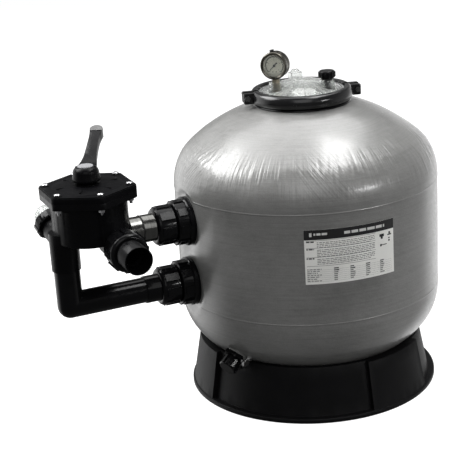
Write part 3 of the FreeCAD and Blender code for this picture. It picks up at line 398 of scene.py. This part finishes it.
def crease(lift, turn, travel, at, height, half_width, half_length, slant):
    """Add one soft ridge to the lift, centred at (turn, travel) and slanted from the meridian."""
    aside = (np.remainder(turn - at[0] + math.pi, 2 * math.pi) - math.pi) * TANK_R
    along_row = travel - at[1]
    along = aside * math.sin(slant) + along_row * math.cos(slant)
    across = aside * math.cos(slant) - along_row * math.sin(slant)
    fade = np.clip(1 - (along / half_length) ** 2, 0, 1) ** 2
    lift += height * fade * np.exp(-(across / half_width) ** 2)


def skin_lift(turn, travel, tapes):
    """How far the wound skin stands out from the plain form, all round."""
    dice = random.Random(11)
    lift = np.zeros_like(turn)
    for _ in range(WAVES):
        waves = dice.randint(1, 11)
        pitch = dice.uniform(12, 55)
        phase = dice.uniform(0, 2 * math.pi)
        lift += 0.06 * MM * np.sin(waves * turn + pitch * travel + phase)
    for k in range(PLEATS):
        at = (2 * math.pi * (k + dice.uniform(-0.4, 0.4)) / PLEATS,
              tapes[1] + PLEAT_RISE + dice.gauss(0, 21 * MM))
        height = dice.choice((-1, 1, 1)) * dice.uniform(0.12, 0.55) * MM
        crease(lift, turn, travel, at, height, dice.uniform(2.1, 3.4) * MM,
               dice.uniform(16, 42) * MM, math.radians(dice.gauss(0, 8)))
    for fan in range(-(FANS // 2), FANS // 2 + 1):
        slant = FAN_LEAN if fan % 2 else -FAN_LEAN
        for k in range(-6, 7):
            aside = k * FAN_PITCH + dice.gauss(0, 1.5 * MM)
            at = (FAN_AT + fan * FAN_STEP + aside / TANK_R,
                  tapes[1] + FAN_RISE + dice.gauss(0, 9 * MM))
            crease(lift, turn, travel, at, dice.uniform(0.2, 0.45) * MM, dice.uniform(2.8, 3.6) * MM,
                   dice.uniform(30, 60) * MM, slant)
    for tape in tapes:
        lift += TAPE_HEIGHT * np.exp(-((travel - tape) / TAPE_WIDTH) ** 2)
    return lift


def calm_places(turn, z):
    """1 on open skin, falling to 0 under the label and round the ports."""
    label = NODES["label"].data.vertices
    angles = [math.atan2(v.co.y, v.co.x) for v in label]
    beside = np.maximum(min(angles) - turn, turn - max(angles)) * TANK_R
    above = np.maximum(LABEL_LOW - z, z - LABEL_HIGH)
    open_skin = smooth_step(np.maximum(beside, above), 0.0, LABEL_MARGIN)
    for port_z in PORT_Z:
        away = np.hypot(TANK_R * np.sin(turn), z - port_z)
        away = np.where(np.cos(turn) < 0, away, 1.0)
        open_skin = open_skin * smooth_step(away, PORT_FLAT_R, PORT_BLEND_R)
    return open_skin


def flatten_pads(x, y, z):
    """Press the skin round each port in to the flat face that the lock nut sits on."""
    for port_z in PORT_Z:
        away = np.where(x < 0, np.hypot(y, z - port_z), 1.0)
        share = 1 - smooth_step(away, PORT_FLAT_R, PORT_BLEND_R)
        x = x * (1 - share) - PAD_FACE * share
    return x


def build_tank_skin():
    """The wound shell seen from outside and, with its plain inner face, as a closed wall."""
    outer, outer_pole = wall_rows(0.0, OUTER_ROWS)
    inner, inner_pole = wall_rows(TANK_WALL, INNER_ROWS)
    steps = np.hypot(np.diff(outer[:, 0]), np.diff(outer[:, 1]))
    travel = np.concatenate(([0.0], np.cumsum(steps)))
    off_wall = abs(outer[:, 0] - TANK_R)
    tapes = [float(travel[np.argmin(abs(outer[:, 1] - z) + off_wall)]) for z in TAPES]
    angles = -math.pi + 2 * math.pi * np.arange(COLUMNS) / COLUMNS
    turn, along = np.meshgrid(angles, travel)
    r, z, lean_r, lean_z = (np.repeat(outer[:, k:k + 1], COLUMNS, 1) for k in range(4))
    lift = skin_lift(turn, along, tapes) * calm_places(turn, z)
    lift *= smooth_step(travel[-1] - along, 6 * MM, 25 * MM)
    r = r + lift * lean_r
    z = z + lift * lean_z
    x = flatten_pads(r * np.cos(turn), r * np.sin(turn), z)
    sheets = [np.stack([x, r * np.sin(turn), z], -1).reshape(-1, 3)]
    for row in inner[::-1]:
        sheets.append(np.stack([row[0] * np.cos(angles), row[0] * np.sin(angles),
                                np.full(COLUMNS, row[1])], -1))
    points = np.concatenate(sheets + [np.array([(0, 0, outer_pole[1]), (0, 0, inner_pole[1])])])
    rows = len(outer) + len(inner)
    faces = []
    for k in range(rows - 1):
        for j in range(COLUMNS):
            n = (j + 1) % COLUMNS
            a, b = k * COLUMNS, (k + 1) * COLUMNS
            faces.append((a + j, a + n, b + n, b + j))
    low, high = rows * COLUMNS, rows * COLUMNS + 1
    last = (rows - 1) * COLUMNS
    for j in range(COLUMNS):
        n = (j + 1) % COLUMNS
        faces.append((low, n, j))
        faces.append((high, last + j, last + n))
    skin = add_mesh("tank_wound_skin", points.tolist(), faces, MATERIALS["tank_skin"], "tank")
    store_skin_coordinates(skin, angles, travel, len(inner), tapes[1])
    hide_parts("tank_shell")


def store_skin_coordinates(skin, angles, travel, inner_rows, high_tape):
    """Unrolled coordinates that the skin's material reads, and where its pleats and strands lie."""
    turn, along = np.meshgrid(angles, np.concatenate((travel, np.full(inner_rows, travel[-1]))))
    wrap = np.stack([TANK_R * np.cos(turn), TANK_R * np.sin(turn), along], -1).reshape(-1, 3)
    wrap = np.concatenate((wrap, np.zeros((2, 3))))
    vector = skin.data.attributes.new("wrap", "FLOAT_VECTOR", "POINT")
    vector.data.foreach_set("vector", wrap.astype(np.float32).ravel())
    rise = wrap[:, 2] - high_tape
    zone = smooth_step(rise, 12 * MM, 45 * MM) * (1 - smooth_step(rise, 85 * MM, 135 * MM))
    round_tank = np.arctan2(wrap[:, 1], wrap[:, 0])
    patches = 0.5 + 0.5 * np.sin(5 * round_tank + 1.1)
    wound = 0.25 + 0.75 * (1 - smooth_step(rise, -5 * MM, 40 * MM))
    nearest = np.round((round_tank - FAN_AT) / FAN_STEP)
    aside = (round_tank - FAN_AT - nearest * FAN_STEP) * TANK_R
    lean = np.where(nearest % 2 == 0, FAN_LEAN, -FAN_LEAN)
    up = rise - FAN_RISE
    fan = np.exp(-(aside / (52 * MM)) ** 2 - (up / (40 * MM)) ** 2)
    slant = np.stack([aside * np.cos(lean) + up * np.sin(lean),
                      up * np.cos(lean) - aside * np.sin(lean), nearest], -1)
    vector = skin.data.attributes.new("slant", "FLOAT_VECTOR", "POINT")
    vector.data.foreach_set("vector", slant.astype(np.float32).ravel())
    masks = {"crinkle": zone * (0.35 + 0.65 * patches) * (1 - 0.7 * fan), "wound": wound, "fan": fan}
    for name, values in masks.items():
        mask = skin.data.attributes.new(name, "FLOAT", "POINT")
        mask.data.foreach_set("value", values.astype(np.float32))


def build_rotor_spring():
    """The selector's return spring, which shortens as the diverter is lifted; this coil is built at one fixed
    length.
    """
    low, high = (Vector(corner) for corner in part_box("rotor_spring"))
    middle = (low + high) / 2
    radius = (high.x - low.x) / 2 - SPRING_WIRE
    climb = high.z - low.z - 2 * SPRING_WIRE
    points, faces = [], []
    for k in range(SPRING_STEPS + 1):
        a = 2 * math.pi * SPRING_TURNS * k / SPRING_STEPS
        out = Vector((math.cos(a), math.sin(a), 0.0))
        along = Vector((-math.sin(a), math.cos(a), climb / (2 * math.pi * SPRING_TURNS * radius)))
        up = out.cross(along.normalized())
        centre = middle + radius * out
        centre.z = low.z + SPRING_WIRE + climb * k / SPRING_STEPS
        for j in range(SPRING_SIDES):
            b = 2 * math.pi * j / SPRING_SIDES
            points.append(centre + SPRING_WIRE * (math.cos(b) * out + math.sin(b) * up))
        if k:
            last, this = (k - 1) * SPRING_SIDES, k * SPRING_SIDES
            for j in range(SPRING_SIDES):
                n = (j + 1) % SPRING_SIDES
                faces.append((last + j, this + j, this + n, last + n))
    faces.append(tuple(range(SPRING_SIDES)))
    faces.append(tuple(range(len(points) - 1, len(points) - 1 - SPRING_SIDES, -1)))
    coil = add_mesh("rotor_spring_coil", points, faces, MATERIALS["stainless"], "tank")
    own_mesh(coil)
    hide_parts("rotor_spring")


def build_drain_boss():
    """The thick boss that the drain fitting screws into, on the drain's sloping axis."""
    drain = next(j for j in frame["joints"] if j["name"] == "drain_cap_turn")
    way = Vector(drain["axis"]).normalized()
    at = Vector(drain["pos_m"])
    turn = way.to_track_quat("Z", "Y")
    outline = [(14, -24), (21, -24), (21, 4.8), (19.8, 6), (14, 6)]
    points, faces = lathe([(r * MM, h * MM) for r, h in outline], 64)
    points = [at + turn @ Vector(p) for p in points]
    add_mesh("drain_boss", points, faces, MATERIALS["tank_skin"], "tank", False)


def lathe(outline, count):
    """Turn a closed (r, h) outline about +Z."""
    points, faces = [], []
    for k in range(count):
        a = 2 * math.pi * k / count
        points += [(r * math.cos(a), r * math.sin(a), h) for r, h in outline]
    size = len(outline)
    for k in range(count):
        here, there = k * size, (k + 1) % count * size
        for i in range(size):
            j = (i + 1) % size
            faces.append((here + i, there + i, there + j, here + j))
    return points, faces


# ---- label ----

class Sheet:
    """Thin raised tiles on the label, placed by shares of its width and height."""

    def __init__(self):
        angles = [math.atan2(v.co.y, v.co.x) for v in NODES["label"].data.vertices]
        self.first, self.last = min(angles), max(angles)
        self.points, self.faces = [], []

    def tile(self, left, right, low, high, bottom=0.2, top=0.55):
        steps = max(1, math.ceil((right - left) / 0.04))
        start = len(self.points)
        for k in range(steps + 1):
            turn = self.first + (self.last - self.first) * (left + (right - left) * k / steps)
            for lift, share in ((bottom, low), (top, low), (top, high), (bottom, high)):
                r = TANK_R + lift * MM
                z = LABEL_LOW + (LABEL_HIGH - LABEL_LOW) * share
                self.points.append((r * math.cos(turn), r * math.sin(turn), z))
        for k in range(steps):
            a, b = start + 4 * k, start + 4 * k + 4
            for i in range(4):
                j = (i + 1) % 4
                self.faces.append((a + i, b + i, b + j, a + j))
        self.faces.append((start, start + 1, start + 2, start + 3))
        end = start + 4 * steps
        self.faces.append((end + 3, end + 2, end + 1, end))

    def line_of_words(self, left, right, low, high, dice, longest=0.06, **lifts):
        """A row of word-sized bars, which stands for a line of small print."""
        at = left
        while at < right:
            word = min(dice.uniform(0.25, 1.0) * longest, right - at)
            self.tile(at, at + word, low, high, **lifts)
            at += word + 0.16 * longest

    def finish(self, name, material):
        add_mesh(name, self.points, self.faces, material, "tank", False)


def build_label():
    dice = random.Random(5)
    header, dark, grey, pale = Sheet(), Sheet(), Sheet(), Sheet()
    head = 0.82
    header.tile(0.0, 1.0, head, 1.0)
    pale.line_of_words(0.42, 0.88, 0.885, 0.935, dice, 0.09, bottom=0.5, top=0.72)
    pale.line_of_words(0.1, 0.24, 0.9, 0.94, dice, 0.07, bottom=0.5, top=0.72)
    pale.tile(0.055, 0.08, 0.88, 0.95, bottom=0.5, top=0.72)
    for high, count in ((0.79, 4), (0.655, 5), (0.485, 4)):
        dark.line_of_words(0.02, 0.1, high - 0.018, high + 0.004, dice, 0.05)
        for k in range(count):
            low = high - 0.03 * (k + 1)
            grey.line_of_words(0.13, 0.76 - 0.05 * (k == count - 1), low, low + 0.013, dice, 0.05)
        dark.tile(0.02, 0.77, high + 0.012, high + 0.017)
    for left, low, wide, tall in ((0.82, 0.71, 0.055, 0.05), (0.835, 0.67, 0.025, 0.05),
                                  (0.92, 0.71, 0.05, 0.022), (0.935, 0.735, 0.02, 0.04),
                                  (0.84, 0.55, 0.07, 0.014), (0.825, 0.535, 0.02, 0.04),
                                  (0.93, 0.6, 0.02, 0.03), (0.93, 0.65, 0.02, 0.02)):
        dark.tile(left, left + wide, low, low + tall)
    dark.tile(0.02, 0.77, 0.335, 0.34)
    for k in range(7):
        low = 0.27 - 0.036 * k
        grey.line_of_words(0.02, 0.17 - 0.02 * (k % 3), low, low + 0.015, dice, 0.05)
        grey.tile(0.02, 0.97, low - 0.011, low - 0.009)
        for column in (0.3, 0.475, 0.65, 0.82):
            sheet = dark if k < 2 else grey
            sheet.tile(column, column + dice.uniform(0.03, 0.055), low, low + 0.018)
    header.finish("label_header", INK)
    dark.finish("label_dark_print", INK)
    grey.finish("label_grey_print", GREY_INK)
    pale.finish("label_pale_print", PALE_INK)


# ---- gauge dial ----

def dial_frame():
    """Matrix from the dial's plane (x right, y up, z out of the face) to the row frame."""
    turn = next(j for j in frame["joints"] if j["name"] == "gauge_pointer_turn")
    out = -Vector(turn["axis"]).normalized()
    up = Vector((0, 0, 1))
    right = up.cross(out)
    low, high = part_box("gauge_dial")
    middle = (low + high) / 2 + out * 0.5 * MM
    return Matrix.Translation(middle) @ Matrix((right, up, out)).transposed().to_4x4()


def dial_band(points, faces, inner, outer, first, last, steps, low=-0.05, high=0.12):
    """A flat arc on the dial, angles in degrees from its right-hand side, sizes in millimetres."""
    start = len(points)
    for k in range(steps + 1):
        a = math.radians(first + (last - first) * k / steps)
        for r, h in ((inner, low), (outer, low), (outer, high), (inner, high)):
            points.append(Vector((r * math.cos(a), r * math.sin(a), h)) * MM)
    for k in range(steps):
        a, b = start + 4 * k, start + 4 * k + 4
        for i in range(4):
            j = (i + 1) % 4
            faces.append((a + i, a + j, b + j, b + i))
    faces.append((start + 3, start + 2, start + 1, start))
    end = start + 4 * steps
    faces.append((end, end + 1, end + 2, end + 3))


def build_dial_marks():
    place = dial_frame()
    points, faces = [], []
    dial_band(points, faces, *DIAL_RING, DIAL_FIRST, DIAL_FIRST + DIAL_SPAN, 72)
    for k in range(DIAL_TICKS + 1):
        middle = DIAL_FIRST + DIAL_SPAN * k / DIAL_TICKS
        deep = 3.0 if k % 10 == 0 else (2.0 if k % 5 == 0 else 1.1)
        half = 2.1 if k % 10 == 0 else 1.0
        dial_band(points, faces, DIAL_TICK_OUT - deep, DIAL_TICK_OUT, middle - half, middle + half, 1)
    for side in (-1, 1):
        dot_points, dot_faces = lathe([(0.05, -0.05), (1.15, -0.05), (1.15, 0.14), (0.05, 0.14)], 20)
        start = len(points)
        points += [(Vector(p) + Vector((side * 3.4, -12.4, 0))) * MM for p in dot_points]
        faces += [tuple(start + i for i in face) for face in dot_faces]
    points = [place @ Vector(p) for p in points]
    add_mesh("gauge_scale", points, faces, INK, "tank", False)
    for k in range(5):
        a = math.radians(DIAL_FIRST + DIAL_SPAN * k / 4)
        spot = Vector((DIAL_NUMBER_R * math.cos(a), DIAL_NUMBER_R * math.sin(a), 0)) * MM
        build_number(str(k), place @ Matrix.Translation(spot))


def build_number(text, place):
    curve = bpy.data.curves.new("gauge_number_" + text, "FONT")
    curve.body = text
    curve.size = DIAL_NUMBER_SIZE * MM
    curve.extrude = 0.08 * MM
    curve.align_x = "CENTER"
    curve.align_y = "CENTER"
    temporary = bpy.data.objects.new("lettering", curve)
    mesh = bpy.data.meshes.new_from_object(temporary)
    bpy.data.objects.remove(temporary)
    mesh.transform(place)
    mesh.materials.clear()
    mesh.materials.append(INK)
    number = bpy.data.objects.new("gauge_number_" + text, mesh)
    bpy.context.scene.collection.objects.link(number)
    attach(number, "tank")


# ---- softened edges on the frame's own pieces ----

def soften(name, width, segments=2, angle=35.0):
    node = NODES[name]
    weld = node.modifiers.new("weld", "WELD")
    weld.merge_threshold = 0.002 * MM
    bevel = node.modifiers.new("soft_edges", "BEVEL")
    bevel.width = width * MM
    bevel.segments = segments
    bevel.limit_method = "ANGLE"
    bevel.angle_limit = math.radians(angle)
    bevel.harden_normals = True


def soften_frame():
    widths = {
        "base_skirt": 1.6, "neck_flange": 0.8, "clamp_half_front": 0.9, "clamp_half_rear": 0.9,
        "bulkhead_lock_nuts": 0.7, "upper_union_nut": 0.6, "lower_union_nut": 0.6,
        "pump_union_nut": 0.6, "return_union_nut": 0.6, "valve_union_tails": 0.5,
        "upper_union_tail": 0.5, "lower_union_tail": 0.5, "valve_body": 0.9, "valve_cover": 0.8,
        "handle": 1.0, "handle_cap": 0.5, "drain_cap": 0.6, "drain_fitting": 0.6,
        "sight_glass_ring": 0.6, "air_release_knob": 0.5, "gauge_case": 0.5, "gauge_stem": 0.4,
        "cover_screws": 0.25, "cover_nuts": 0.4, "clamp_bolts": 0.4, "clamp_nuts": 0.4,
    }
    for name, width in widths.items():
        soften(name, width)


# ---- stage ----

def add_area_light(name, at, aim, size, power):
    data = bpy.data.lights.new(name, "AREA")
    data.shape = "RECTANGLE"
    data.size, data.size_y = size
    data.energy = power
    light = bpy.data.objects.new(name, data)
    light.location = at
    light.visible_camera = False
    light.rotation_euler = (Vector(aim) - Vector(at)).to_track_quat("-Z", "Y").to_euler()
    bpy.context.scene.collection.objects.link(light)


def studio_world():
    """A dim room with broad, soft-edged bright panels."""
    world = bpy.data.worlds.new("studio")
    world.use_nodes = True
    tree = world.node_tree
    background = tree.nodes["Background"]
    background.inputs["Color"].default_value = (1, 1, 1, 1)
    direction = tree.nodes.new("ShaderNodeTexCoord").outputs["Generated"]
    total = None
    for azimuth, elevation, inner, outer, strength in PANELS:
        level = math.cos(math.radians(elevation))
        axis = (level * math.cos(math.radians(azimuth)), level * math.sin(math.radians(azimuth)),
                math.sin(math.radians(elevation)))
        dot = tree.nodes.new("ShaderNodeVectorMath")
        dot.operation = "DOT_PRODUCT"
        dot.inputs[1].default_value = axis
        tree.links.new(direction, dot.inputs[0])
        glow = tree.nodes.new("ShaderNodeMapRange")
        glow.interpolation_type = "SMOOTHSTEP"
        glow.inputs["From Min"].default_value = math.cos(math.radians(outer))
        glow.inputs["From Max"].default_value = math.cos(math.radians(inner))
        glow.inputs["To Max"].default_value = strength
        tree.links.new(dot.outputs["Value"], glow.inputs["Value"])
        add = tree.nodes.new("ShaderNodeMath")
        add.operation = "ADD"
        add.inputs[1].default_value = ROOM_LIGHT
        if total is not None:
            tree.links.new(total, add.inputs[1])
        tree.links.new(glow.outputs["Result"], add.inputs[0])
        total = add.outputs["Value"]
    tree.links.new(total, background.inputs["Strength"])
    bpy.context.scene.world = world


def floor_material(name, glow):
    material, tree, shader = new_material(name)
    shader.inputs["Base Color"].default_value = (0.35, 0.35, 0.35, 1)
    shader.inputs["Roughness"].default_value = 0.9
    shader.inputs["Specular IOR Level"].default_value = 0.0
    shader.inputs["Emission Color"].default_value = (1, 1, 1, 1)
    shader.inputs["Emission Strength"].default_value = glow
    return material


def build_floor():
    """A wide pale floor that glows a little, except in the shade under the skirt."""
    count = 64
    ring = [(SHADE_R * math.cos(2 * math.pi * k / count), SHADE_R * math.sin(2 * math.pi * k / count), 0)
            for k in range(count)]
    corners = [(FLOOR_HALF * c, FLOOR_HALF * s, 0) for c, s in ((1, 1), (-1, 1), (-1, -1), (1, -1))]
    quarter = count // 4
    faces = [tuple(range(count))]
    for q in range(4):
        first = q * quarter - quarter // 2
        steps = [(first + k + quarter // 2) % count for k in range(quarter + 1)]
        faces.append((count + (q + 3) % 4, count + q, *reversed(steps)))
    mesh = bpy.data.meshes.new("floor")
    mesh.from_pydata(ring + corners, [], faces)
    mesh.materials.append(floor_material("floor", FLOOR_GLOW))
    mesh.materials.append(floor_material("floor_shade", 0.0))
    mesh.polygons[0].material_index = 1
    floor = bpy.data.objects.new("floor", mesh)
    floor.visible_diffuse = False
    floor.visible_glossy = False
    bpy.context.scene.collection.objects.link(floor)


def build_stage():
    build_floor()
    studio_world()
    for name, at, aim, size, power in LIGHTS:
        add_area_light(name, at, aim, size, power)


def build_camera():
    data = bpy.data.cameras.new("camera")
    data.sensor_width = 36.0
    data.lens = CAMERA_LENS
    camera = bpy.data.objects.new("camera", data)
    camera.location = CAMERA_AT
    turn = CAMERA_LOOK.to_track_quat("-Z", "Y") @ Quaternion((0, 0, 1), CAMERA_ROLL)
    camera.rotation_euler = turn.to_euler()
    bpy.context.scene.collection.objects.link(camera)
    bpy.context.scene.camera = camera
    bpy.context.scene.view_settings.view_transform = "Standard"


build_camera()
build_stage()
paint_frame()
soften_frame()
build_tank_skin()
build_rotor_spring()
build_drain_boss()
build_label()
build_dial_marks()
